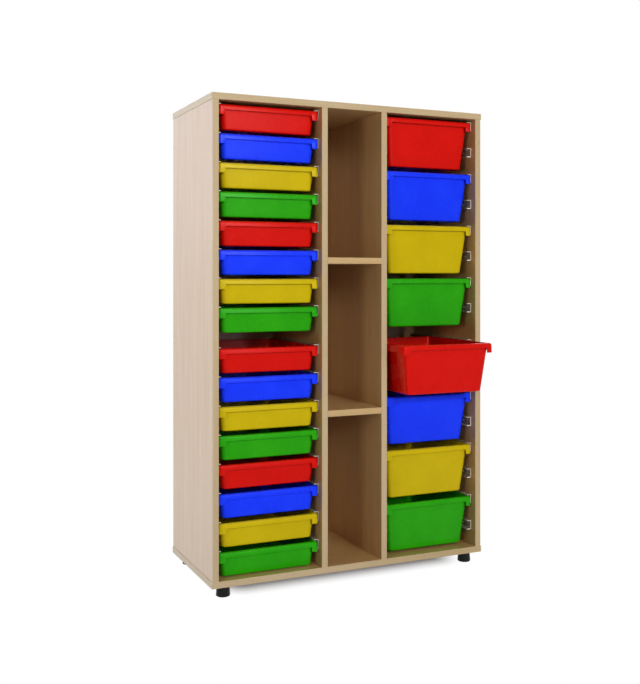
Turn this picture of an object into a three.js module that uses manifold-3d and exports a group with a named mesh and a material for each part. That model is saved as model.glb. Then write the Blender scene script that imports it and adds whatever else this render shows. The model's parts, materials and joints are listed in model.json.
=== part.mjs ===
// Classroom tray storage unit: a beech-effect board cabinet on four round feet. Two bays of moulded
// plastic trays slide on channel runners, either side of a narrow bay of three open compartments.
// Millimetres, +Z up, front towards -Y, standing on z = 0.

import * as THREE from 'three';
import { mergeVertices } from 'three/addons/utils/BufferGeometryUtils.js';
import Module from 'manifold-3d';

const wasm = await Module();
wasm.setup();

// Boards: melamine-faced chipboard with a plastic edging strip on the edges that show
const boardThickness = 19;
const backThickness = 10;
const edgingThickness = 2;
const middleBayWidth = 180;
const middleCompartmentHeight = 436;

// Trays: outside sizes over the rim, then the sections of wall, rim, lip, side rail and ear
const trayWidth = 310;
const trayDepth = 370;
const shallowHeight = 72;
const trayWall = 2.4;
const trayFloor = 2.6;
const wallDraftDegrees = 4.5;
const wallCornerRadius = 14;
const floorRound = 4;
const rimOverhang = 11;
const rimThickness = 2.2;
const rimEdgeRound = 2.4;
const rimCornerRadius = 8;
const lipWall = 2;
const lipHeight = 14.5;
const railHeight = 22.5;
const earHeight = 28;
const earFace = 9;
const earSweep = 4;
const earReturn = 1;
const earBackSlope = 1.5;
const trayCornerSteps = 2;

// Rows: an upper and a lower bank of shallow trays, and deep trays that take the height of several rows
const upperBankRows = 8;
const lowerBankRows = 8;
const rowsPerDeepTray = 2;
const trayStackGap = 11;
const deepStackGap = 16;
const bankExtraGap = 33;
const headroom = 9.5;
const floorClearance = 2.5;
const openDeepTray = 5;
const openTrayPull = 118;

// Runners: channels open towards the bay
const runnerWall = 1.8;
const runnerReach = 14.5;
const runnerTopPlay = 1.5;
const runnerBackGap = 2;
const seatGap = 0.3;
const earStopGap = 0.5;
const traySideGap = 5;
const trayFrontRecess = 15;
const trayBackGap = 5;

// Feet
const footHeight = 32;
const footDiameter = 41;
const footNeckDiameter = 37;
const footSoleRound = 4;
const footCollarHeight = 3;
const footSideInset = 44;
const footFrontInset = 32;
const footSides = 20;
const footRoundSteps = 2;

// Sizes of the carcass that follow from the trays inside it
const bayWidth = trayWidth + 2 * traySideGap;
const rowPitch = shallowHeight + trayStackGap;
const deepHeight = rowsPerDeepTray * rowPitch - deepStackGap;
const rowCount = upperBankRows + lowerBankRows;
const carcassHalfWidth = middleBayWidth / 2 + bayWidth + 2 * boardThickness;
const overallHalfWidth = carcassHalfWidth + edgingThickness;
const interiorDepth = trayFrontRecess + trayDepth + trayBackGap;
const carcassDepth = interiorDepth + backThickness;
const bottomBoardTop = footHeight + boardThickness;
const lowestRim = bottomBoardTop + floorClearance + shallowHeight;
const highestRim = lowestRim + (rowCount - 1) * rowPitch + bankExtraGap;
const topBoardUnderside = highestRim + headroom;
const carcassTop = topBoardUnderside + boardThickness;
const sideInnerFace = carcassHalfWidth - boardThickness;
const partitionOuterFace = middleBayWidth / 2 + boardThickness;
const bayCentre = (sideInnerFace + partitionOuterFace) / 2;
const earDepth = rimCornerRadius + earReturn + earBackSlope;
const runnerFront = trayFrontRecess + earDepth + earStopGap;
const runnerBack = interiorDepth - runnerBackGap;

// Finishes
const board = new THREE.MeshStandardMaterial({ color: 0xdbc5b1, roughness: 0.55, metalness: 0 });
const edging = new THREE.MeshStandardMaterial({ color: 0xc2aa7d, roughness: 0.5, metalness: 0 });
const footPlastic = new THREE.MeshStandardMaterial({ color: 0x161616, roughness: 0.5, metalness: 0 });
const trayPlastics = [0xc81408, 0x1c3cec, 0xd6be0e, 0x26a014].map(
  (color) => new THREE.MeshStandardMaterial({ color, roughness: 0.3, metalness: 0 }),
);

// Everything is drawn with the carcass front on y = 0, then moved so that the unit, with its
// pulled-out tray, is centred over the origin.
const unit = new THREE.Group();
unit.position.y = -(trayFrontRecess - openTrayPull + carcassDepth) / 2;

function addMesh(name, geometry, material) {
  const mesh = new THREE.Mesh(geometry, material);
  mesh.name = name;
  unit.add(mesh);
  return mesh;
}

// Boxes given by their extent along each axis
function boxGeometry([x0, x1], [y0, y1], [z0, z1]) {
  const geometry = new THREE.BoxGeometry(x1 - x0, y1 - y0, z1 - z0);
  return geometry.translate((x0 + x1) / 2, (y0 + y1) / 2, (z0 + z1) / 2);
}

// Boolean joins
function solidOf(geometry) {
  const bare = geometry.clone();
  bare.deleteAttribute('normal');
  bare.deleteAttribute('uv');
  const welded = mergeVertices(bare);
  return new wasm.Manifold(new wasm.Mesh({
    numProp: 3,
    vertProperties: welded.attributes.position.array,
    triVerts: welded.index.array,
  }));
}

function geometryOf(solid) {
  const { vertProperties, triVerts } = solid.getMesh();
  const geometry = new THREE.BufferGeometry();
  geometry.setAttribute('position', new THREE.BufferAttribute(vertProperties, 3));
  geometry.setIndex(new THREE.BufferAttribute(triVerts, 1));
  geometry.computeVertexNormals();
  return geometry;
}

// Tray rows, from the top row down, as the height of the rim's top
const rowRims = Array.from({ length: rowCount }, (_, row) => {
  const bankDrop = row < upperBankRows ? 0 : bankExtraGap;
  return highestRim - row * rowPitch - bankDrop;
});

// Runner: a channel screwed to an upright. Its lower flange carries the tray's side rail, its upper
// flange keeps the tray from tipping, and its front end stops the tray's ear.
function runnerGeometry(face, towardsBay, rim) {
  const low = rim - railHeight - seatGap - runnerWall;
  const high = rim + runnerTopPlay + runnerWall;
  const tip = face + towardsBay * runnerReach;
  const web = face + towardsBay * runnerWall;
  const profile = new THREE.Shape([
    new THREE.Vector2(face, low),
    new THREE.Vector2(tip, low),
    new THREE.Vector2(tip, low + runnerWall),
    new THREE.Vector2(web, low + runnerWall),
    new THREE.Vector2(web, high - runnerWall),
    new THREE.Vector2(tip, high - runnerWall),
    new THREE.Vector2(tip, high),
    new THREE.Vector2(face, high),
  ]);
  const length = runnerBack - runnerFront;
  const channel = new THREE.ExtrudeGeometry(profile, { depth: length, bevelEnabled: false });
  return channel.rotateX(Math.PI / 2).translate(0, runnerBack, 0);
}

// Upright: a board that carries a column of runners on the face that looks into a tray bay
function addUpright(name, [x0, x1], depth, towardsBay) {
  const heights = [bottomBoardTop, topBoardUnderside];
  const face = towardsBay > 0 ? x1 : x0;
  const panel = solidOf(boxGeometry([x0, x1], [edgingThickness, depth], heights));
  const upright = rowRims.reduce(
    (joined, rim) => joined.add(solidOf(runnerGeometry(face, towardsBay, rim))),
    panel,
  );
  addMesh(name, geometryOf(upright), board);
  addMesh(`${name}_edging`, boxGeometry([x0, x1], [0, edgingThickness], heights), edging);
}

addUpright('left_side', [-carcassHalfWidth, -sideInnerFace], carcassDepth, 1);
addUpright('left_partition', [-partitionOuterFace, -middleBayWidth / 2], interiorDepth, -1);
addUpright('right_partition', [middleBayWidth / 2, partitionOuterFace], interiorDepth, 1);
addUpright('right_side', [sideInnerFace, carcassHalfWidth], carcassDepth, -1);

// Top and bottom boards: they run over the ends of the sides, edged on the front and both ends
function addCrossBoard(name, heights) {
  const wide = [-overallHalfWidth, overallHalfWidth];
  const behindEdging = [edgingThickness, carcassDepth];
  addMesh(`${name}_board`, boxGeometry([-carcassHalfWidth, carcassHalfWidth], behindEdging, heights), board);
  addMesh(`${name}_front_edging`, boxGeometry(wide, [0, edgingThickness], heights), edging);
  const leftEnd = boxGeometry([-overallHalfWidth, -carcassHalfWidth], behindEdging, heights);
  const rightEnd = boxGeometry([carcassHalfWidth, overallHalfWidth], behindEdging, heights);
  addMesh(`${name}_left_edging`, leftEnd, edging);
  addMesh(`${name}_right_edging`, rightEnd, edging);
}

addCrossBoard('top', [topBoardUnderside, carcassTop]);
addCrossBoard('bottom', [footHeight, bottomBoardTop]);

// Fixed shelves of the middle bay, set evenly about its mid-height
function addShelf(name, underside) {
  const heights = [underside, underside + boardThickness];
  const across = [-middleBayWidth / 2, middleBayWidth / 2];
  addMesh(name, boxGeometry(across, [edgingThickness, interiorDepth], heights), board);
  addMesh(`${name}_edging`, boxGeometry(across, [0, edgingThickness], heights), edging);
}

const midHeight = (bottomBoardTop + topBoardUnderside) / 2;
addShelf('upper_shelf', midHeight + middleCompartmentHeight / 2);
addShelf('lower_shelf', midHeight - middleCompartmentHeight / 2 - boardThickness);

// Back panel, let in between the sides and flush with their rear edges
const backAcross = [-sideInnerFace, sideInnerFace];
const backHeights = [bottomBoardTop, topBoardUnderside];
addMesh('back_panel', boxGeometry(backAcross, [interiorDepth, carcassDepth], backHeights), board);

// Feet: turned plastic, a straight collar under the board and a body that swells to a rounded sole
function footGeometry() {
  const soleRadius = footDiameter / 2;
  const neckRadius = footNeckDiameter / 2;
  const sole = new THREE.Path();
  sole.moveTo(0, 0);
  sole.lineTo(soleRadius - footSoleRound, 0);
  sole.absarc(soleRadius - footSoleRound, footSoleRound, footSoleRound, -Math.PI / 2, 0, false);
  sole.lineTo(neckRadius, footHeight - footCollarHeight);
  sole.lineTo(soleRadius, footHeight - footCollarHeight);
  sole.lineTo(soleRadius, footHeight);
  sole.lineTo(0, footHeight);
  return new THREE.LatheGeometry(sole.getPoints(footRoundSteps), footSides).rotateX(Math.PI / 2);
}

const footX = overallHalfWidth - footSideInset;
const footRows = { front: footFrontInset, rear: carcassDepth - footFrontInset };
const footColumns = { left: -footX, right: footX };
for (const [row, y] of Object.entries(footRows)) {
  for (const [column, x] of Object.entries(footColumns)) {
    addMesh(`${row}_${column}_foot`, footGeometry(), footPlastic).position.set(x, y, 0);
  }
}

// Loft: closed rings of equally many points, joined side by side, with flat caps on both ends
function loftGeometry(rings) {
  const count = rings[0].length;
  const faces = [];
  for (let ring = 0; ring < rings.length - 1; ring += 1) {
    for (let point = 0; point < count; point += 1) {
      const here = ring * count + point;
      const next = ring * count + ((point + 1) % count);
      faces.push(here, next, here + count, next, next + count, here + count);
    }
  }
  const lastRing = (rings.length - 1) * count;
  for (let point = 1; point < count - 1; point += 1) {
    faces.push(0, point + 1, point);
    faces.push(lastRing, lastRing + point, lastRing + point + 1);
  }
  const geometry = new THREE.BufferGeometry().setFromPoints(rings.flat());
  geometry.setIndex(faces);
  geometry.computeVertexNormals();
  return geometry;
}

// Tray ring: a rounded rectangle in plan, inset from the rim's edge, drawn from the middle of the back
// round the right-hand side to the middle of the front, then mirrored. The height of its edge may differ
// along the sides and back, at the front corners where the ears are, and along the front between them.
function trayRing(inset, radius, sideHeight, earsHeight = sideHeight, frontHeight = sideHeight) {
  const cornerX = trayWidth / 2 - inset - radius;
  const frontCornerY = inset + radius;
  const backCornerY = trayDepth - inset - radius;
  const arc = (cornerY, startAngle, height) => Array.from({ length: trayCornerSteps + 1 }, (_, step) => {
    const angle = startAngle - (step / trayCornerSteps) * (Math.PI / 2);
    const x = cornerX + radius * Math.cos(angle);
    return new THREE.Vector3(x, cornerY + radius * Math.sin(angle), height);
  });
  const rightHalf = [
    ...arc(backCornerY, Math.PI / 2, sideHeight),
    new THREE.Vector3(cornerX + radius, frontCornerY + earReturn + earBackSlope, sideHeight),
    new THREE.Vector3(cornerX + radius, frontCornerY + earReturn, earsHeight),
    ...arc(frontCornerY, 0, earsHeight),
    new THREE.Vector3(cornerX - earFace, inset, earsHeight),
    new THREE.Vector3(cornerX - earFace - earSweep, inset, frontHeight),
  ];
  const leftHalf = rightHalf.map((point) => new THREE.Vector3(-point.x, point.y, point.z)).reverse();
  return [...rightHalf, ...leftHalf];
}

// Tray: the section runs from the inside of the floor up the wall, out over the rim, down and up the
// turned-down lip, and back down the outside of the wall to the underside of the floor.
function trayGeometry(height) {
  const draft = Math.tan(THREE.MathUtils.degToRad(wallDraftDegrees));
  const outsideInset = (z) => rimOverhang + Math.max(0, -z - rimThickness) * draft;
  const insideInset = (z) => outsideInset(z) + trayWall;
  const insideFloor = -height + trayFloor;
  const insideRadius = wallCornerRadius - trayWall;
  const lipRadius = rimCornerRadius - lipWall;
  return loftGeometry([
    trayRing(insideInset(insideFloor) + floorRound, insideRadius, insideFloor),
    trayRing(insideInset(insideFloor + floorRound), insideRadius, insideFloor + floorRound),
    trayRing(insideInset(0), insideRadius, 0),
    trayRing(rimEdgeRound, rimCornerRadius - rimEdgeRound, 0),
    trayRing(0, rimCornerRadius, -rimEdgeRound),
    trayRing(0, rimCornerRadius, -railHeight, -earHeight, -lipHeight),
    trayRing(lipWall, lipRadius, -railHeight, -earHeight, -lipHeight),
    trayRing(lipWall, lipRadius, -rimThickness),
    trayRing(rimOverhang, wallCornerRadius, -rimThickness),
    trayRing(outsideInset(-height + floorRound), wallCornerRadius, -height + floorRound),
    trayRing(outsideInset(-height) + floorRound, wallCornerRadius, -height),
  ]);
}

// Trays hang by their side rails, one to a row on the left and one to every few rows on the right.
// Their colours repeat from the top down. One deep tray stands part-way out.
function addTray(name, geometry, step, x, rim, pull) {
  const plastic = trayPlastics[step % trayPlastics.length];
  addMesh(name, geometry, plastic).position.set(x, trayFrontRecess - pull, rim);
}

const shallowTray = trayGeometry(shallowHeight);
rowRims.forEach((rim, row) => {
  const number = String(row + 1).padStart(2, '0');
  addTray(`shallow_tray_${number}`, shallowTray, row, -bayCentre, rim, 0);
});

const deepTray = trayGeometry(deepHeight);
const deepRims = rowRims.filter((_, row) => row % rowsPerDeepTray === 0);
deepRims.forEach((rim, step) => {
  const number = step + 1;
  const pull = number === openDeepTray ? openTrayPull : 0;
  addTray(`deep_tray_${number}`, deepTray, step, bayCentre, rim, pull);
});

export default unit;
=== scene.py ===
"""The looks of a classroom tray storage unit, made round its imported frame, from the carcass inwards.

Metres, +Z up, front towards -Y. Sizes are written in millimetres, as mm times a number.
"""

import json
import math

import bmesh
import bpy
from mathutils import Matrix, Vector


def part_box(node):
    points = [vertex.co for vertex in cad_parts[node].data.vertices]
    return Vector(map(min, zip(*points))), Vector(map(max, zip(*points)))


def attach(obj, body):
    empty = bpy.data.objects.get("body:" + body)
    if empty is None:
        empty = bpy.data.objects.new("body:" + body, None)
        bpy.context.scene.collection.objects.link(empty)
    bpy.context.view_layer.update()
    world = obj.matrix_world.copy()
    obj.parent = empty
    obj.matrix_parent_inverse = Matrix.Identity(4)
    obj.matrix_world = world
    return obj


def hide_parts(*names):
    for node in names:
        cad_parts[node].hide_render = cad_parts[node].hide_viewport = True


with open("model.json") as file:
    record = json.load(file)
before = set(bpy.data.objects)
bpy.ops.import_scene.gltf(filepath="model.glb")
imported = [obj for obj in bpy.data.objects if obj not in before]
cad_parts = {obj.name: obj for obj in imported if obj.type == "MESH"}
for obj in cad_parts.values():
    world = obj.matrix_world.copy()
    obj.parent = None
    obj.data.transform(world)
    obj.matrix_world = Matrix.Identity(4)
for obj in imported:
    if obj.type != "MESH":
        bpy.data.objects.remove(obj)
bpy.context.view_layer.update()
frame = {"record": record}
bpy.context.scene.view_settings.view_transform = "Standard"


# Boards
# The carcass is melamine-faced chipboard, pressed with a beech print under a satin film. The boards
# are sawn square and dowelled together, so their arrises are only just broken.

mm = 0.001
board_arris = 0.15 * mm
arris_segments = 3
round_profile = 0.5

# A Mix node's sockets by number, because their names repeat from one data type to the next.
mix_share, mix_value_a, mix_value_b, mix_colour_a, mix_colour_b = 0, 2, 3, 6, 7
mixed_colour = 2


def linear(hex_colour):
    """An sRGB hex colour as linear red, green, blue and alpha."""
    shares = [int(hex_colour[start:start + 2], 16) / 255 for start in (1, 3, 5)]
    light = [share / 12.92 if share <= 0.04045 else ((share + 0.055) / 1.055) ** 2.4 for share in shares]
    return [*light, 1]


def add_node(tree, kind, inputs=None, **settings):
    """A node with its settings, and its inputs given as values or as the sockets that feed them."""
    node = tree.nodes.new(kind)
    for name, value in settings.items():
        setattr(node, name, value)
    for key, value in (inputs or {}).items():
        if isinstance(value, bpy.types.NodeSocket):
            tree.links.new(value, node.inputs[key])
        else:
            node.inputs[key].default_value = value
    return node


def new_material(name):
    """A material and its node tree, emptied."""
    material = bpy.data.materials.new(name)
    material.use_nodes = True
    tree = material.node_tree
    tree.nodes.clear()
    return material, tree


def beech_print(name, along, pale, dark, fleck, roughness, shine, film):
    """Printed beech: broad soft figure, fine grain lines and the short dark flecks that mark beech.

    The print lies flat under its film, so the grain shows as colour and hardly as relief.
    """
    grain_share = 0.45
    gloss_spread = 0.06
    material, tree = new_material(name)
    place = add_node(tree, "ShaderNodeTexCoord").outputs["Object"]
    patterns = {}
    for pattern, width, stretch, detail in (
        ("figure", 26 * mm, 16, 3.0),
        ("grain", 4.5 * mm, 30, 4.0),
        ("fleck", 1.3 * mm, 7, 1.0),
        ("film", 0.9 * mm, 1, 2.0),
    ):
        scale = [1 / width] * 3
        scale["XYZ".index(along)] /= stretch
        laid = add_node(tree, "ShaderNodeMapping", {"Vector": place, "Scale": scale}).outputs[0]
        waves = {"Vector": laid, "Scale": 1.0, "Detail": detail, "Distortion": 0.3}
        patterns[pattern] = add_node(tree, "ShaderNodeTexNoise", waves).outputs["Fac"]
    figure = add_node(tree, "ShaderNodeMapRange", {
        "Value": patterns["figure"], "From Min": 0.34, "From Max": 0.68,
    }).outputs[0]
    grain = add_node(tree, "ShaderNodeMapRange", {
        "Value": patterns["grain"], "From Min": 0.3, "From Max": 0.72,
    }).outputs[0]
    flecks = add_node(tree, "ShaderNodeMapRange", {
        "Value": patterns["fleck"], "From Min": 0.62, "From Max": 0.72, "To Max": 0.35,
    }).outputs[0]
    lines = add_node(tree, "ShaderNodeMix", {
        mix_share: grain_share, mix_value_a: figure, mix_value_b: grain,
    }).outputs[0]
    wood = add_node(tree, "ShaderNodeMix", {
        mix_share: lines, mix_colour_a: linear(pale), mix_colour_b: linear(dark),
    }, data_type="RGBA").outputs[mixed_colour]
    colour = add_node(tree, "ShaderNodeMix", {
        mix_share: flecks, mix_colour_a: wood, mix_colour_b: linear(fleck),
    }, data_type="RGBA").outputs[mixed_colour]
    gloss = add_node(tree, "ShaderNodeMapRange", {
        "Value": patterns["grain"], "To Min": roughness - gloss_spread, "To Max": roughness + gloss_spread,
    }).outputs[0]
    relief = add_node(tree, "ShaderNodeBump", {
        "Strength": 0.12, "Distance": 0.05 * mm, "Height": patterns["film"],
    }).outputs[0]
    surface = add_node(tree, "ShaderNodeBsdfPrincipled", {
        "Base Color": colour,
        "Roughness": gloss,
        "IOR": 1.5,
        "Specular IOR Level": shine,
        "Coat Weight": film,
        "Coat Roughness": 0.42,
        "Coat IOR": 1.6,
        "Normal": relief,
    }).outputs[0]
    add_node(tree, "ShaderNodeOutputMaterial", {"Surface": surface})
    return material


def melamine(name, along):
    """Beech melamine: warm tan, satin, with a film that catches white light at a low angle."""
    return beech_print(name, along, pale="#c29b62", dark="#af8650", fleck="#876034",
                       roughness=0.5, shine=0.4, film=1.0)


def add_piece(name, shape, finish, body, slot, *stands_for):
    """A mesh at the origin with its place in its points, riding on a body in place of CAD nodes."""
    mesh = bpy.data.meshes.new(name)
    shape.to_mesh(mesh)
    shape.free()
    mesh.materials.append(finish)
    piece = bpy.data.objects.new(name, mesh)
    bpy.context.collection.objects.link(piece)
    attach(piece, body)
    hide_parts(*stands_for)
    return piece


def box_shape(low, high):
    """A box between two corners."""
    shape = bmesh.new()
    bmesh.ops.create_cube(shape, size=1)
    middle = (low + high) / 2
    size = high - low
    for vertex in shape.verts:
        vertex.co = middle + vertex.co * size
    return shape


def round_edges(shape, edges, size, segments):
    """Rounds some edges of a shape over."""
    bmesh.ops.bevel(shape, geom=edges, offset=size, segments=segments, profile=round_profile, affect="EDGES")


def add_board(name, low, high, finish, node):
    """A square-sawn board with its arrises broken."""
    shape = box_shape(low, high)
    round_edges(shape, shape.edges, board_arris, arris_segments)
    add_piece(name, shape, finish, "carcass", "beech_board", node)


upright_melamine = melamine("beech_melamine_upright", "Z")
cross_melamine = melamine("beech_melamine_cross", "X")
upright_names = ("left_side", "left_partition", "right_partition", "right_side")
for name in upright_names:
    edge_low, edge_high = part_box(f"{name}_edging")
    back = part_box(name)[1].y
    low = Vector((edge_low.x, edge_high.y, edge_low.z))
    high = Vector((edge_high.x, back, edge_high.z))
    add_board(f"{name}_panel", low, high, upright_melamine, name)
for name in ("top_board", "bottom_board", "upper_shelf", "lower_shelf"):
    add_board(f"{name}_panel", *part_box(name), cross_melamine, name)
add_board("back_panel_sheet", *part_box("back_panel"), upright_melamine, "back_panel")


# Edging
# The edges that show carry a 2 mm plastic strip with a paler beech print. It is glued on and its
# two outer arrises are rounded over by the edging machine.

edging_round = 1.2 * mm
edging_segments = 4


def frame_strip_print(name, along):
    """Printed edging strip on the fronts of the frame's boards: pale tan and matt."""
    return beech_print(name, along, pale="#c5af88", dark="#b9a176", fleck="#9a8057",
                       roughness=0.45, shine=0.12, film=0.0)


def small_strip_print(name, along):
    """Printed edging strip on the shelves and the boards' ends: a yellower, darker tan with some gloss left.
    On the shelves this darker tone is painted shade, standing in for the shade the shelf fronts sit in.
    """
    return beech_print(name, along, pale="#c4a56f", dark="#b79760", fleck="#967644",
                       roughness=0.45, shine=0.12, film=0.4)


def add_edging(node, outward, finish):
    """A strip with both long arrises of its outward face rounded over."""
    low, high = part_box(node)
    size = high - low
    length_axis = max(range(3), key=lambda axis: size[axis])
    shape = box_shape(low, high)
    outer_face = max(shape.faces, key=lambda face: face.calc_center_median().dot(outward))
    long_edges = [
        edge for edge in outer_face.edges
        if abs(edge.verts[0].co[length_axis] - edge.verts[1].co[length_axis]) > size[length_axis] / 2
    ]
    round_edges(shape, long_edges, edging_round, edging_segments)
    add_piece(f"{node}_strip", shape, finish, "carcass", "edging", node)


to_front = Vector((0, -1, 0))
to_left = Vector((-1, 0, 0))
to_right = Vector((1, 0, 0))
upright_edging = frame_strip_print("beech_edging_upright", "Z")
cross_edging = frame_strip_print("beech_edging_cross", "X")
# The shelf strips take the darker, yellower print as painted shade, not as a different strip.
shelf_edging = small_strip_print("beech_edging_shelf", "X")
end_edging = small_strip_print("beech_edging_end", "Y")
for name in upright_names:
    add_edging(f"{name}_edging", to_front, upright_edging)
for shelf in ("upper", "lower"):
    add_edging(f"{shelf}_shelf_edging", to_front, shelf_edging)
for level in ("top", "bottom"):
    add_edging(f"{level}_front_edging", to_front, cross_edging)
    add_edging(f"{level}_left_edging", to_left, end_edging)
    add_edging(f"{level}_right_edging", to_right, end_edging)


# Runners
# Each tray hangs in a pair of half-clear plastic channels, extruded and sawn to length, with a thicker
# nose under the front of the lower flange. Each is held to its upright by three screws through the web.

runner_wall = 1.8 * mm
runner_reach = 14.5 * mm
runner_above_rim = 3.3 * mm
runner_below_rim = 24.6 * mm
runner_back_gap = 2 * mm
runner_front_setback = 26 * mm
runner_arris = 0.35 * mm
runner_arris_segments = 2
nose_depth = 1.4 * mm
nose_length = 9 * mm
screw_radius = 3.4 * mm
screw_height = 1.5 * mm
screw_end_distance = 40 * mm
screw_sides = 12
screw_dome = ((1.0, 0.0), (0.92, 0.55), (0.6, 0.9))
rows_per_bank = 8


def extruded_plastic(name, front):
    """Half-clear extruded polystyrene: the board shows through it, and its sawn front ends stay white.

    The die leaves faint drawn lines along its length.
    """
    die_line_width, die_line_stretch = 2.2 * mm, 60
    clear_share = 0.75
    material, tree = new_material(name)
    place = add_node(tree, "ShaderNodeTexCoord").outputs["Object"]
    scale = (1 / die_line_width, 1 / (die_line_width * die_line_stretch), 1 / die_line_width)
    drawn = add_node(tree, "ShaderNodeMapping", {"Vector": place, "Scale": scale}).outputs[0]
    lines = add_node(tree, "ShaderNodeTexNoise", {
        "Vector": drawn, "Scale": 1.0, "Detail": 2.0,
    }).outputs["Fac"]
    tint = add_node(tree, "ShaderNodeMix", {
        mix_share: lines, mix_colour_a: linear("#f2ecdc"), mix_colour_b: linear("#e2d9c4"),
    }, data_type="RGBA").outputs[mixed_colour]
    relief = add_node(tree, "ShaderNodeBump", {
        "Strength": 0.15, "Distance": 0.04 * mm, "Height": lines,
    }).outputs[0]
    depth = add_node(tree, "ShaderNodeSeparateXYZ", {"Vector": place}).outputs["Y"]
    unsawn = add_node(tree, "ShaderNodeMath", {
        0: depth, 1: front + runner_arris,
    }, operation="GREATER_THAN").outputs[0]
    clear = add_node(tree, "ShaderNodeMath", {0: unsawn, 1: clear_share}, operation="MULTIPLY").outputs[0]
    surface = add_node(tree, "ShaderNodeBsdfPrincipled", {
        "Base Color": tint,
        "Roughness": 0.2,
        "IOR": 1.55,
        "Transmission Weight": clear,
        "Normal": relief,
    }).outputs[0]
    add_node(tree, "ShaderNodeOutputMaterial", {"Surface": surface})
    return material


def zinc_plated_steel(name):
    """Zinc-plated screw heads: pale grey metal, dulled by the plating's fine crystals."""
    crystal_size = 1.2 * mm
    material, tree = new_material(name)
    place = add_node(tree, "ShaderNodeTexCoord").outputs["Object"]
    crystals = add_node(tree, "ShaderNodeTexNoise", {
        "Vector": place, "Scale": 1 / crystal_size, "Detail": 2.0,
    }).outputs["Fac"]
    tint = add_node(tree, "ShaderNodeMix", {
        mix_share: crystals, mix_colour_a: linear("#c9ccd0"), mix_colour_b: linear("#aeb2b8"),
    }, data_type="RGBA").outputs[mixed_colour]
    dull = add_node(tree, "ShaderNodeMapRange", {
        "Value": crystals, "To Min": 0.28, "To Max": 0.45,
    }).outputs[0]
    surface = add_node(tree, "ShaderNodeBsdfPrincipled", {
        "Base Color": tint,
        "Roughness": dull,
        "Metallic": 1.0,
    }).outputs[0]
    add_node(tree, "ShaderNodeOutputMaterial", {"Surface": surface})
    return material


def part_object(name, shape):
    """A helper object for the repeats, unlinked from the scene and removed once they are made."""
    mesh = bpy.data.meshes.new(name)
    shape.to_mesh(mesh)
    shape.free()
    return bpy.data.objects.new(name, mesh)


def skin_rings(shape, rings):
    """Faces between each ring of points and the next, and over the first and the last ring."""
    count = len(rings[0])
    for lower, upper in zip(rings, rings[1:]):
        for point in range(count):
            following = (point + 1) % count
            shape.faces.new((lower[point], lower[following], upper[following], upper[point]))
    shape.faces.new(rings[0])
    shape.faces.new(rings[-1])


def runner_shape(face, towards_bay, front, back):
    """One channel, open towards the bay, drawn about a rim at height 0."""
    web = face + towards_bay * runner_wall
    tip = face + towards_bay * runner_reach
    low, high = -runner_below_rim, runner_above_rim
    section = [
        (face, low), (tip, low), (tip, low + runner_wall), (web, low + runner_wall),
        (web, high - runner_wall), (tip, high - runner_wall), (tip, high), (face, high),
    ]
    shape = bmesh.new()
    outline = shape.faces.new([shape.verts.new((x, front, z)) for x, z in section])
    drawn = bmesh.ops.extrude_face_region(shape, geom=[outline])["geom"]
    moved = [item for item in drawn if isinstance(item, bmesh.types.BMVert)]
    bmesh.ops.translate(shape, verts=moved, vec=(0, back - front, 0))
    nose = [
        (front, low), (front, low - nose_depth), (front + nose_length / 2, low - nose_depth),
        (front + nose_length, low),
    ]
    near = [shape.verts.new((web, y, z)) for y, z in nose]
    far = [shape.verts.new((tip, y, z)) for y, z in nose]
    skin_rings(shape, [near, far])
    bmesh.ops.recalc_face_normals(shape, faces=shape.faces)
    round_edges(shape, shape.edges, runner_arris, runner_arris_segments)
    return shape


def screws_shape(face, towards_bay, front, back):
    """The three domed screw heads of one channel, on the bay side of its web."""
    seat = face + towards_bay * runner_wall
    height = (runner_above_rim - runner_below_rim) / 2
    turns = [2 * math.pi * side / screw_sides for side in range(screw_sides)]
    shape = bmesh.new()
    for depth in (front + screw_end_distance, (front + back) / 2, back - screw_end_distance):
        rings = []
        for radius_share, height_share in screw_dome:
            radius = radius_share * screw_radius
            x = seat + towards_bay * height_share * screw_height
            around = [(depth + radius * math.cos(turn), height + radius * math.sin(turn)) for turn in turns]
            rings.append([shape.verts.new((x, y, z)) for y, z in around])
        skin_rings(shape, rings)
    bmesh.ops.recalc_face_normals(shape, faces=shape.faces)
    return shape


def rows_tree():
    """Copies of a part down the rows of the upper and the lower bank of trays."""
    tree = bpy.data.node_groups.new("part_on_every_row", "GeometryNodeTree")
    sockets = {
        "Part": "NodeSocketObject",
        "Finish": "NodeSocketMaterial",
        "Rows In Bank": "NodeSocketInt",
        "Row Pitch": "NodeSocketFloat",
        "Upper Bank Top": "NodeSocketFloat",
        "Lower Bank Top": "NodeSocketFloat",
    }
    for name, kind in sockets.items():
        tree.interface.new_socket(name, in_out="INPUT", socket_type=kind)
    tree.interface.new_socket("Geometry", in_out="OUTPUT", socket_type="NodeSocketGeometry")
    given = add_node(tree, "NodeGroupInput").outputs
    drop = add_node(tree, "ShaderNodeMath", {0: 0.0, 1: given["Row Pitch"]}, operation="SUBTRACT").outputs[0]
    step = add_node(tree, "ShaderNodeCombineXYZ", {"Z": drop}).outputs[0]
    banks = []
    for bank in ("Upper Bank Top", "Lower Bank Top"):
        start = add_node(tree, "ShaderNodeCombineXYZ", {"Z": given[bank]}).outputs[0]
        banks.append(add_node(tree, "GeometryNodeMeshLine", {
            "Count": given["Rows In Bank"], "Start Location": start, "Offset": step,
        }).outputs[0])
    rows = add_node(tree, "GeometryNodeJoinGeometry")
    for bank in banks:
        tree.links.new(bank, rows.inputs[0])
    part = add_node(tree, "GeometryNodeObjectInfo", {"Object": given["Part"]}).outputs["Geometry"]
    copies = add_node(tree, "GeometryNodeInstanceOnPoints", {
        "Points": rows.outputs[0], "Instance": part,
    }).outputs[0]
    real = add_node(tree, "GeometryNodeRealizeInstances", {"Geometry": copies}).outputs[0]
    finished = add_node(tree, "GeometryNodeSetMaterial", {
        "Geometry": real, "Material": given["Finish"],
    }).outputs[0]
    add_node(tree, "NodeGroupOutput", {"Geometry": finished})
    return tree


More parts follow.
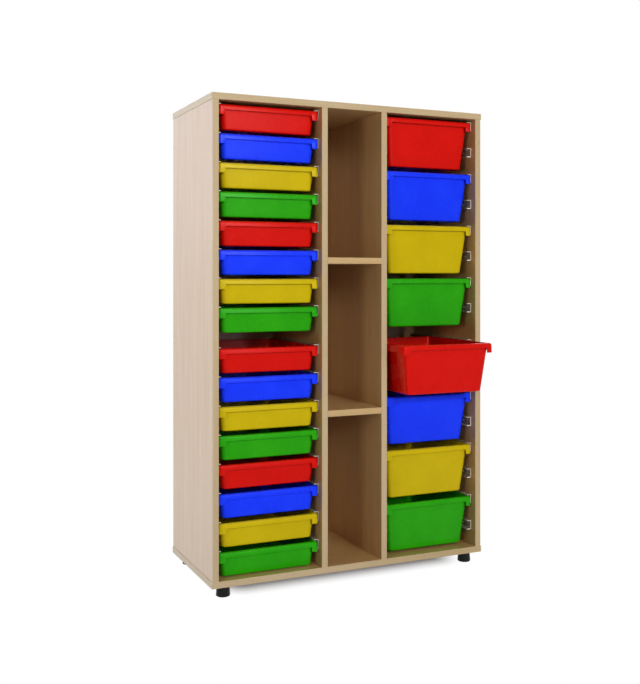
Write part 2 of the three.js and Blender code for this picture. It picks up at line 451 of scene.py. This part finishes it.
def add_on_rows(name, part, finish):
    """A plain mesh of a part repeated on every row, made by the rows tree."""
    first_rows = (1, 2, rows_per_bank + 1)
    top, second, lower_top = (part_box(f"shallow_tray_{row:02d}")[1].z for row in first_rows)
    piece = bpy.data.objects.new(name, bpy.data.meshes.new(name))
    bpy.context.collection.objects.link(piece)
    modifier = piece.modifiers.new("rows", "NODES")
    modifier.node_group = part_rows
    given = {
        "Part": part,
        "Finish": finish,
        "Rows In Bank": rows_per_bank,
        "Row Pitch": top - second,
        "Upper Bank Top": top,
        "Lower Bank Top": lower_top,
    }
    for socket in part_rows.interface.items_tree:
        if socket.in_out == "INPUT":
            modifier[socket.identifier] = given[socket.name]
    evaluated = piece.evaluated_get(bpy.context.evaluated_depsgraph_get())
    mesh = bpy.data.meshes.new_from_object(evaluated)
    piece.modifiers.remove(modifier)
    piece.data = mesh
    bpy.data.objects.remove(part)
    return piece


part_rows = rows_tree()
runner_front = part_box("left_side_edging")[0].y + runner_front_setback
runner_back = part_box("back_panel")[0].y - runner_back_gap
clear_channel = extruded_plastic("extruded_polystyrene_half_clear", runner_front)
screw_steel = zinc_plated_steel("zinc_plated_steel")
for name, towards_bay in zip(upright_names, (1, -1, 1, -1)):
    edge_low, edge_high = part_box(f"{name}_edging")
    face = edge_high.x if towards_bay > 0 else edge_low.x
    span = (face, towards_bay, runner_front, runner_back)
    runners = add_on_rows(f"{name}_runners", part_object("runner", runner_shape(*span)), clear_channel)
    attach(runners, "carcass")
    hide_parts(name)
    screws = add_on_rows(f"{name}_runner_screws", part_object("screws", screws_shape(*span)), screw_steel)
    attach(screws, "carcass")


# Trays
# Moulded polypropylene in four colours: a thin drafted box with rounded corners. Its rim turns down to
# a lip, deeper along the sides, where it rides in the runners, and deepest in an ear at each front corner.

tray_wall = 2.4 * mm
tray_floor = 2.6 * mm
tray_draft = math.tan(math.radians(6.2))
inside_corner = 9.6 * mm
outside_corner = 12 * mm
floor_round = 4 * mm
rim_overhang = 8.5 * mm
rim_thickness = 2.2 * mm
shoulder_slope = math.radians(45)
shoulder_round = 6 * mm
shoulder_run = 0.6 * mm
rim_inner_round = 1.5 * mm
rim_corner = 8 * mm
lip_wall = 2 * mm
lip_flare = 0.8 * mm
front_lip = 15.5 * mm
side_rail = 22.5 * mm
ear_drop = 29.5 * mm
ear_face = 12 * mm
ear_sweep = 1.6 * mm
ear_return = 1 * mm
ear_back_slope = 1.5 * mm
base_ring = 9 * mm
base_recess = 1.2 * mm
corner_steps = 8
round_steps = 5
sweep_steps = 5
shading_support = 4 * mm
sharp_angle = math.radians(40)


def moulded_polypropylene(name, body, bright, shine):
    """Glossy moulded polypropylene: an even body colour that clouds very slightly where the melt flowed.

    The wall is a little wavy from cooling, so reflections bend, and handling has dulled it in patches.
    """
    material, tree = new_material(name)
    place = add_node(tree, "ShaderNodeTexCoord").outputs["Object"]
    patterns = {}
    for pattern, size, detail in (
        ("flow", 70 * mm, 2.0),
        ("wave", 55 * mm, 1.0),
        ("wear", 22 * mm, 4.0),
        ("skin", 1.6 * mm, 2.0),
    ):
        clouds = {"Vector": place, "Scale": 1 / size, "Detail": detail}
        patterns[pattern] = add_node(tree, "ShaderNodeTexNoise", clouds).outputs["Fac"]
    flow = add_node(tree, "ShaderNodeMapRange", {
        "Value": patterns["flow"], "From Min": 0.35, "From Max": 0.65,
    }).outputs[0]
    colour = add_node(tree, "ShaderNodeMix", {
        mix_share: flow, mix_colour_a: linear(body), mix_colour_b: linear(bright),
    }, data_type="RGBA").outputs[mixed_colour]
    dull = add_node(tree, "ShaderNodeMapRange", {
        "Value": patterns["wear"], "From Min": 0.3, "From Max": 0.7, "To Min": 0.22, "To Max": 0.3,
    }).outputs[0]
    waves = add_node(tree, "ShaderNodeBump", {
        "Strength": 0.25, "Distance": 0.5 * mm, "Height": patterns["wave"],
    }).outputs[0]
    skin = add_node(tree, "ShaderNodeBump", {
        "Strength": 0.05, "Distance": 0.05 * mm, "Height": patterns["skin"], "Normal": waves,
    }).outputs[0]
    surface = add_node(tree, "ShaderNodeBsdfPrincipled", {
        "Base Color": colour,
        "Roughness": dull,
        "IOR": 1.49,
        "Specular IOR Level": 0.3,
        "Specular Tint": linear(shine),
        "Normal": skin,
    }).outputs[0]
    add_node(tree, "ShaderNodeOutputMaterial", {"Surface": surface})
    return material


def quarter_turn(steps):
    """The sines and cosines of a quarter turn, end points included."""
    angles = [math.pi / 2 * step / steps for step in range(steps + 1)]
    return [(math.sin(angle), math.cos(angle)) for angle in angles]


def rim_shoulder():
    """The sloped shoulder of the rim: its setbacks from the lip's face and its heights, from the top down."""
    slope_left = math.pi / 2 - shoulder_slope
    upper_turns = [shoulder_slope * step / round_steps for step in range(round_steps + 1)]
    lower_turns = [shoulder_slope + slope_left * step / round_steps for step in range(round_steps + 1)]
    points = [
        (shoulder_round * math.sin(turn), shoulder_round * (1 - math.cos(turn))) for turn in upper_turns
    ]
    out, down = points[-1]
    out += shoulder_run * math.cos(shoulder_slope)
    down += shoulder_run * math.sin(shoulder_slope)
    points += [
        (out + shoulder_round * (math.sin(turn) - math.sin(shoulder_slope)),
         down + shoulder_round * (math.cos(shoulder_slope) - math.cos(turn)))
        for turn in lower_turns
    ]
    reach = points[-1][0]
    return [(reach - out, -down) for out, down in points]


def tray_levels(height):
    """The tray's section from the inside of the floor over the rim and lip to its underside.

    Each level is an inset from the rim's edge, a corner radius, a height above the rim's top, mostly
    negative, and whether that height is measured from the lip's lower edge instead.
    """
    def outside(z):
        return rim_overhang + max(0, -z - rim_thickness) * tray_draft

    def inside(z):
        return outside(z) + tray_wall

    levels = []
    floor = -height + tray_floor
    for sine, cosine in quarter_turn(round_steps):
        z = floor + floor_round * (1 - cosine)
        levels.append((inside(z) + floor_round * (1 - sine), inside_corner, z, False))
    for z in (floor + floor_round + shading_support, -rim_inner_round - shading_support):
        levels.append((inside(z), inside_corner, z, False))
    for sine, cosine in quarter_turn(round_steps):
        inset = inside(-rim_inner_round) - rim_inner_round * (1 - cosine)
        levels.append((inset, inside_corner, -rim_inner_round * (1 - sine), False))
    shoulder = rim_shoulder()
    for setback, z in shoulder:
        inset = lip_flare + setback
        levels.append((inset, rim_corner - inset, z, False))
    lip_round = lip_wall / 2
    for sine, cosine in quarter_turn(round_steps):
        inset = lip_round * (1 - cosine)
        levels.append((inset, rim_corner - inset, lip_round * (1 - sine), True))
    for sine, cosine in quarter_turn(round_steps)[1:]:
        inset = lip_round * (1 + sine)
        levels.append((inset, rim_corner - inset, lip_round * (1 - cosine), True))
    levels.append((lip_flare + lip_wall, rim_corner - lip_flare - lip_wall, shoulder[-1][1], False))
    under_top = lip_flare + shoulder[0][0]
    levels.append((under_top + lip_wall / 2, rim_corner - under_top, -rim_thickness, False))
    levels.append((rim_overhang, outside_corner, -rim_thickness, False))
    for z in (-rim_thickness - shading_support, -height + floor_round + shading_support):
        levels.append((outside(z), outside_corner, z, False))
    for sine, cosine in quarter_turn(round_steps):
        z = -height + floor_round * (1 - sine)
        levels.append((outside(z) + floor_round * (1 - cosine), outside_corner, z, False))
    base = outside(-height) + floor_round + base_ring
    levels.append((base, outside_corner, -height, False))
    levels.append((base + base_recess, outside_corner, -height + base_recess, False))
    return levels


def tray_outline(width, depth, inset, radius):
    """The right half of a level, from the back round the side and the front corner, mirrored to the left."""
    corner_x = width / 2 - inset - radius
    front_y = inset + radius
    back_y = depth - inset - radius
    turns = quarter_turn(corner_steps)
    sweep = [step / sweep_steps for step in range(sweep_steps + 1)]
    half = [(corner_x + radius * sine, back_y + radius * cosine) for sine, cosine in turns]
    half += [(corner_x + radius, front_y + ear_return + ear_back_slope * (1 - share)) for share in sweep]
    half += [(corner_x + radius * cosine, front_y - radius * sine) for sine, cosine in turns]
    half += [(corner_x - ear_face - ear_sweep * share, inset) for share in sweep]
    return half + [(-x, y) for x, y in reversed(half)]


def lip_drops():
    """How far the lip's lower edge lies below the rim's top at each point of the outline."""
    eased = [(1 - math.cos(math.pi * step / sweep_steps)) / 2 for step in range(sweep_steps + 1)]
    half = [side_rail] * (corner_steps + 1)
    half += [side_rail + (ear_drop - side_rail) * share for share in eased]
    half += [ear_drop] * (corner_steps + 1)
    half += [ear_drop + (front_lip - ear_drop) * share for share in eased]
    return half + half[::-1]


def tray_shape(low, high):
    """A moulded tray that fills the box of its node."""
    size = high - low
    corner = Vector(((low.x + high.x) / 2, low.y, high.z))
    drops = lip_drops()
    shape = bmesh.new()
    rings = []
    for inset, radius, level, from_lip in tray_levels(size.z):
        outline = tray_outline(size.x, size.y, inset, radius)
        heights = [level - drop if from_lip else level for drop in drops]
        rings.append([shape.verts.new(corner + Vector((x, y, z))) for (x, y), z in zip(outline, heights)])
    skin_rings(shape, rings)
    bmesh.ops.recalc_face_normals(shape, faces=shape.faces)
    return shape


def shade_rounds(piece):
    """Smooth shading, but for the edges that stay sharp."""
    piece.data.shade_smooth()
    piece.data.set_sharp_from_angle(angle=sharp_angle)


tray_finishes = {
    "tray_red": moulded_polypropylene("moulded_polypropylene_red", "#d00800", "#d50a02", "#ffa296"),
    "tray_blue": moulded_polypropylene("moulded_polypropylene_blue", "#1034f4", "#143af9", "#a4b8ff"),
    "tray_yellow": moulded_polypropylene("moulded_polypropylene_yellow", "#c4ac00", "#cab102", "#fff194"),
    "tray_green": moulded_polypropylene("moulded_polypropylene_green", "#229b00", "#27a203", "#a8ff9c"),
}
subparts = frame["record"]["subparts"]
tray_slots = {row["node"]: row["material_slot"] for row in subparts if "_tray_" in row["node"]}
for node, slot in sorted(tray_slots.items()):
    tray = add_piece(f"{node}_moulding", tray_shape(*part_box(node)), tray_finishes[slot], node, slot, node)
    shade_rounds(tray)


# Feet
# Black moulded glides: a straight collar under the bottom board, then a body that swells to a rounded
# sole, screwed up into the board from below.

foot_neck_radius = 18.5 * mm
foot_collar = 3 * mm
foot_sole_round = 4 * mm
foot_arris = 0.6 * mm
foot_sides = 64


def moulded_nylon(name):
    """Black moulded nylon: satin, with the fine sparked texture of its mould and a little dust."""
    spark_size, dust_size = 0.9 * mm, 9 * mm
    material, tree = new_material(name)
    place = add_node(tree, "ShaderNodeTexCoord").outputs["Object"]
    spark = add_node(tree, "ShaderNodeTexNoise", {
        "Vector": place, "Scale": 1 / spark_size, "Detail": 2.0,
    }).outputs["Fac"]
    dust = add_node(tree, "ShaderNodeTexNoise", {
        "Vector": place, "Scale": 1 / dust_size, "Detail": 3.0,
    }).outputs["Fac"]
    tint = add_node(tree, "ShaderNodeMix", {
        mix_share: dust, mix_colour_a: linear("#0b0c0c"), mix_colour_b: linear("#161717"),
    }, data_type="RGBA").outputs[mixed_colour]
    relief = add_node(tree, "ShaderNodeBump", {
        "Strength": 0.2, "Distance": 0.06 * mm, "Height": spark,
    }).outputs[0]
    surface = add_node(tree, "ShaderNodeBsdfPrincipled", {
        "Base Color": tint,
        "Roughness": 0.38,
        "IOR": 1.53,
        "Specular IOR Level": 0.12,
        "Normal": relief,
    }).outputs[0]
    add_node(tree, "ShaderNodeOutputMaterial", {"Surface": surface})
    return material


def foot_shape(low, high):
    """A turned glide that fills the box of its node."""
    radius = (high.x - low.x) / 2
    height = high.z - low.z
    axis = Vector(((low.x + high.x) / 2, (low.y + high.y) / 2, low.z))
    profile = [
        (radius - foot_sole_round * (1 - sine), foot_sole_round * (1 - cosine))
        for sine, cosine in quarter_turn(round_steps)
    ]
    profile += [(foot_neck_radius, height - foot_collar)]
    profile += [(radius - foot_arris, height - foot_collar), (radius, height - foot_collar + foot_arris)]
    profile += [(radius, height - foot_arris), (radius - foot_arris, height)]
    turns = [2 * math.pi * side / foot_sides for side in range(foot_sides)]
    shape = bmesh.new()
    rings = []
    for ring_radius, z in profile:
        around = [Vector((math.cos(turn) * ring_radius, math.sin(turn) * ring_radius, z)) for turn in turns]
        rings.append([shape.verts.new(axis + point) for point in around])
    skin_rings(shape, rings)
    bmesh.ops.recalc_face_normals(shape, faces=shape.faces)
    return shape


black_nylon = moulded_nylon("moulded_nylon_black")
for name in ("front_left_foot", "front_right_foot", "rear_left_foot", "rear_right_foot"):
    foot = add_piece(f"{name}_glide", foot_shape(*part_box(name)), black_nylon, "carcass", "foot", name)
    shade_rounds(foot)


# Floor and studio
# A plain white floor that keeps the unit's shadow close in and passes into a white surround. Soft lights
# stand in front, at both front corners, to the left and behind, and a weak one hangs above.

floor_radius = 9.0
floor_sides = 96
shadow_front_inset = 100 * mm
shadow_side_inset = 130 * mm
shadow_fade = 110 * mm
floor_lift = 0.12
surround_fill = 0.015
unit_middle = (0, -0.15, 0.7)


def seen_directly(tree):
    """One for what the eye, a mirror or a glass sees, and nothing for the light that falls on things."""
    before_first_scatter = 0.5
    path = add_node(tree, "ShaderNodeLightPath").outputs
    shiny = add_node(tree, "ShaderNodeMath", {
        0: path["Is Glossy Ray"], 1: path["Is Transmission Ray"],
    }, operation="ADD").outputs[0]
    unscattered = add_node(tree, "ShaderNodeMath", {
        0: path["Diffuse Depth"], 1: before_first_scatter,
    }, operation="LESS_THAN").outputs[0]
    mirrored = add_node(tree, "ShaderNodeMath", {0: shiny, 1: unscattered}, operation="MULTIPLY").outputs[0]
    return add_node(tree, "ShaderNodeMath", {
        0: path["Is Camera Ray"], 1: mirrored,
    }, operation="ADD", use_clamp=True).outputs[0]


def studio_floor(name):
    """Matt white board near the unit, paler than its light alone would make it, white further out."""
    material, tree = new_material(name)
    place = add_node(tree, "ShaderNodeTexCoord").outputs["Object"]
    low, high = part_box("bottom_board")
    middle = (low + high) / 2
    reach = (high - low) / 2 - Vector((shadow_side_inset, shadow_front_inset, 0))
    centred = add_node(tree, "ShaderNodeMapping", {
        "Vector": place, "Location": (-middle.x, -middle.y, 0),
    }).outputs[0]
    either_side = add_node(tree, "ShaderNodeVectorMath", {0: centred}, operation="ABSOLUTE").outputs[0]
    past_edge = add_node(tree, "ShaderNodeVectorMath", {
        0: either_side, 1: (reach.x, reach.y, 0),
    }, operation="SUBTRACT").outputs[0]
    outside = add_node(tree, "ShaderNodeVectorMath", {
        0: past_edge, 1: (0, 0, 0),
    }, operation="MAXIMUM").outputs[0]
    distance = add_node(tree, "ShaderNodeVectorMath", {0: outside}, operation="LENGTH").outputs["Value"]
    fade = add_node(tree, "ShaderNodeMapRange", {
        "Value": distance, "From Min": 0.0, "From Max": shadow_fade,
    }, interpolation_type="SMOOTHSTEP").outputs[0]
    seen = seen_directly(tree)
    board = add_node(tree, "ShaderNodeBsdfDiffuse", {"Color": linear("#c8c8c8")}).outputs[0]
    lift = add_node(tree, "ShaderNodeMath", {0: seen, 1: floor_lift}, operation="MULTIPLY").outputs[0]
    glow = add_node(tree, "ShaderNodeEmission", {"Strength": lift}).outputs[0]
    near = add_node(tree, "ShaderNodeAddShader", {0: board, 1: glow}).outputs[0]
    plain = add_node(tree, "ShaderNodeEmission", {"Strength": 1.0}).outputs[0]
    white = add_node(tree, "ShaderNodeMixShader", {0: seen, 1: board, 2: plain}).outputs[0]
    both = add_node(tree, "ShaderNodeMixShader", {0: fade, 1: near, 2: white}).outputs[0]
    add_node(tree, "ShaderNodeOutputMaterial", {"Surface": both})
    return material


floor_disc = bmesh.new()
bmesh.ops.create_circle(floor_disc, cap_ends=True, radius=floor_radius, segments=floor_sides)
floor_mesh = bpy.data.meshes.new("floor")
floor_disc.to_mesh(floor_mesh)
floor_disc.free()
floor_mesh.materials.append(studio_floor("matt_white_floor"))
floor = bpy.data.objects.new("floor", floor_mesh)
bpy.context.collection.objects.link(floor)

surround = bpy.data.worlds.new("white_surround")
surround.use_nodes = True
surround_tree = surround.node_tree
surround_tree.nodes.clear()
white_paint = linear("#ffffff")
fill = add_node(surround_tree, "ShaderNodeBackground", {
    "Color": white_paint, "Strength": surround_fill,
}).outputs[0]
white = add_node(surround_tree, "ShaderNodeBackground", {"Color": white_paint, "Strength": 1.0}).outputs[0]
shown = add_node(surround_tree, "ShaderNodeMixShader", {
    0: seen_directly(surround_tree), 1: fill, 2: white,
}).outputs[0]
add_node(surround_tree, "ShaderNodeOutputWorld", {"Surface": shown})
bpy.context.scene.world = surround


def add_softbox(name, place, aim, width, height, level, tint):
    """A soft light facing a point, where a level of 1 shows a white card there as white."""
    towards = Vector(aim) - Vector(place)
    light = bpy.data.lights.new(name, "AREA")
    light.shape = "RECTANGLE"
    light.size = width
    light.size_y = height
    light.energy = level * math.pi ** 2 * towards.length_squared
    light.color = linear(tint)[:3]
    lamp = bpy.data.objects.new(name, light)
    lamp.location = place
    lamp.rotation_euler = towards.to_track_quat("-Z", "Y").to_euler()
    lamp.visible_camera = False
    bpy.context.collection.objects.link(lamp)


add_softbox("front_softbox", place=(0.2, -8.4, 3.2), aim=unit_middle,
            width=1.8, height=1.8, level=0.53, tint="#fffdf8")
add_softbox("left_front_softbox", place=(-2.3, -1.65, 1.1), aim=unit_middle,
            width=0.6, height=0.6, level=0.17, tint="#fffaf2")
add_softbox("right_front_softbox", place=(1.22, -5.2, 1.8), aim=(-0.3, -0.15, 1.1),
            width=0.4, height=2.4, level=0.14, tint="#e8e6ff")
add_softbox("left_softbox", place=(-3.3, 0.2, 1.9), aim=(-0.45, 0.1, 0.75),
            width=0.5, height=1.6, level=2.1, tint="#9fb8ff")
add_softbox("rear_left_softbox", place=(-1.46, 3.35, 1.9), aim=(-0.45, 0.05, 1.1),
            width=0.6, height=1.4, level=0.02, tint="#d4deff")
add_softbox("rear_right_softbox", place=(2.9, 3.7, 5.6), aim=(0.1, 0.1, 0.9),
            width=2.4, height=2.4, level=0.55, tint="#ffffff")
add_softbox("overhead_softbox", place=(0.4, -2.4, 4.2), aim=unit_middle,
            width=1.6, height=1.2, level=0.09, tint="#ffffff")


# View
# The photograph was taken from the left of the front, with the lens level and a little above mid-height.
# The picture is taller than wide, so its height is what the sensor spans.

photo_height = 684
focal_pixels = 960.7
horizon_row = 275.2
camera_place = (-1.293, -2.7315, 0.916)
camera_yaw = math.radians(-24.5)
lens_sensor = 36
camera_data = bpy.data.cameras.new("photo_view")
camera_data.sensor_width = lens_sensor
camera_data.lens = focal_pixels * lens_sensor / photo_height
camera_data.shift_y = (horizon_row - photo_height / 2) / photo_height
camera = bpy.data.objects.new("photo_view", camera_data)
camera.location = camera_place
camera.rotation_euler = (math.pi / 2, 0, camera_yaw)
bpy.context.collection.objects.link(camera)
bpy.context.scene.camera = camera
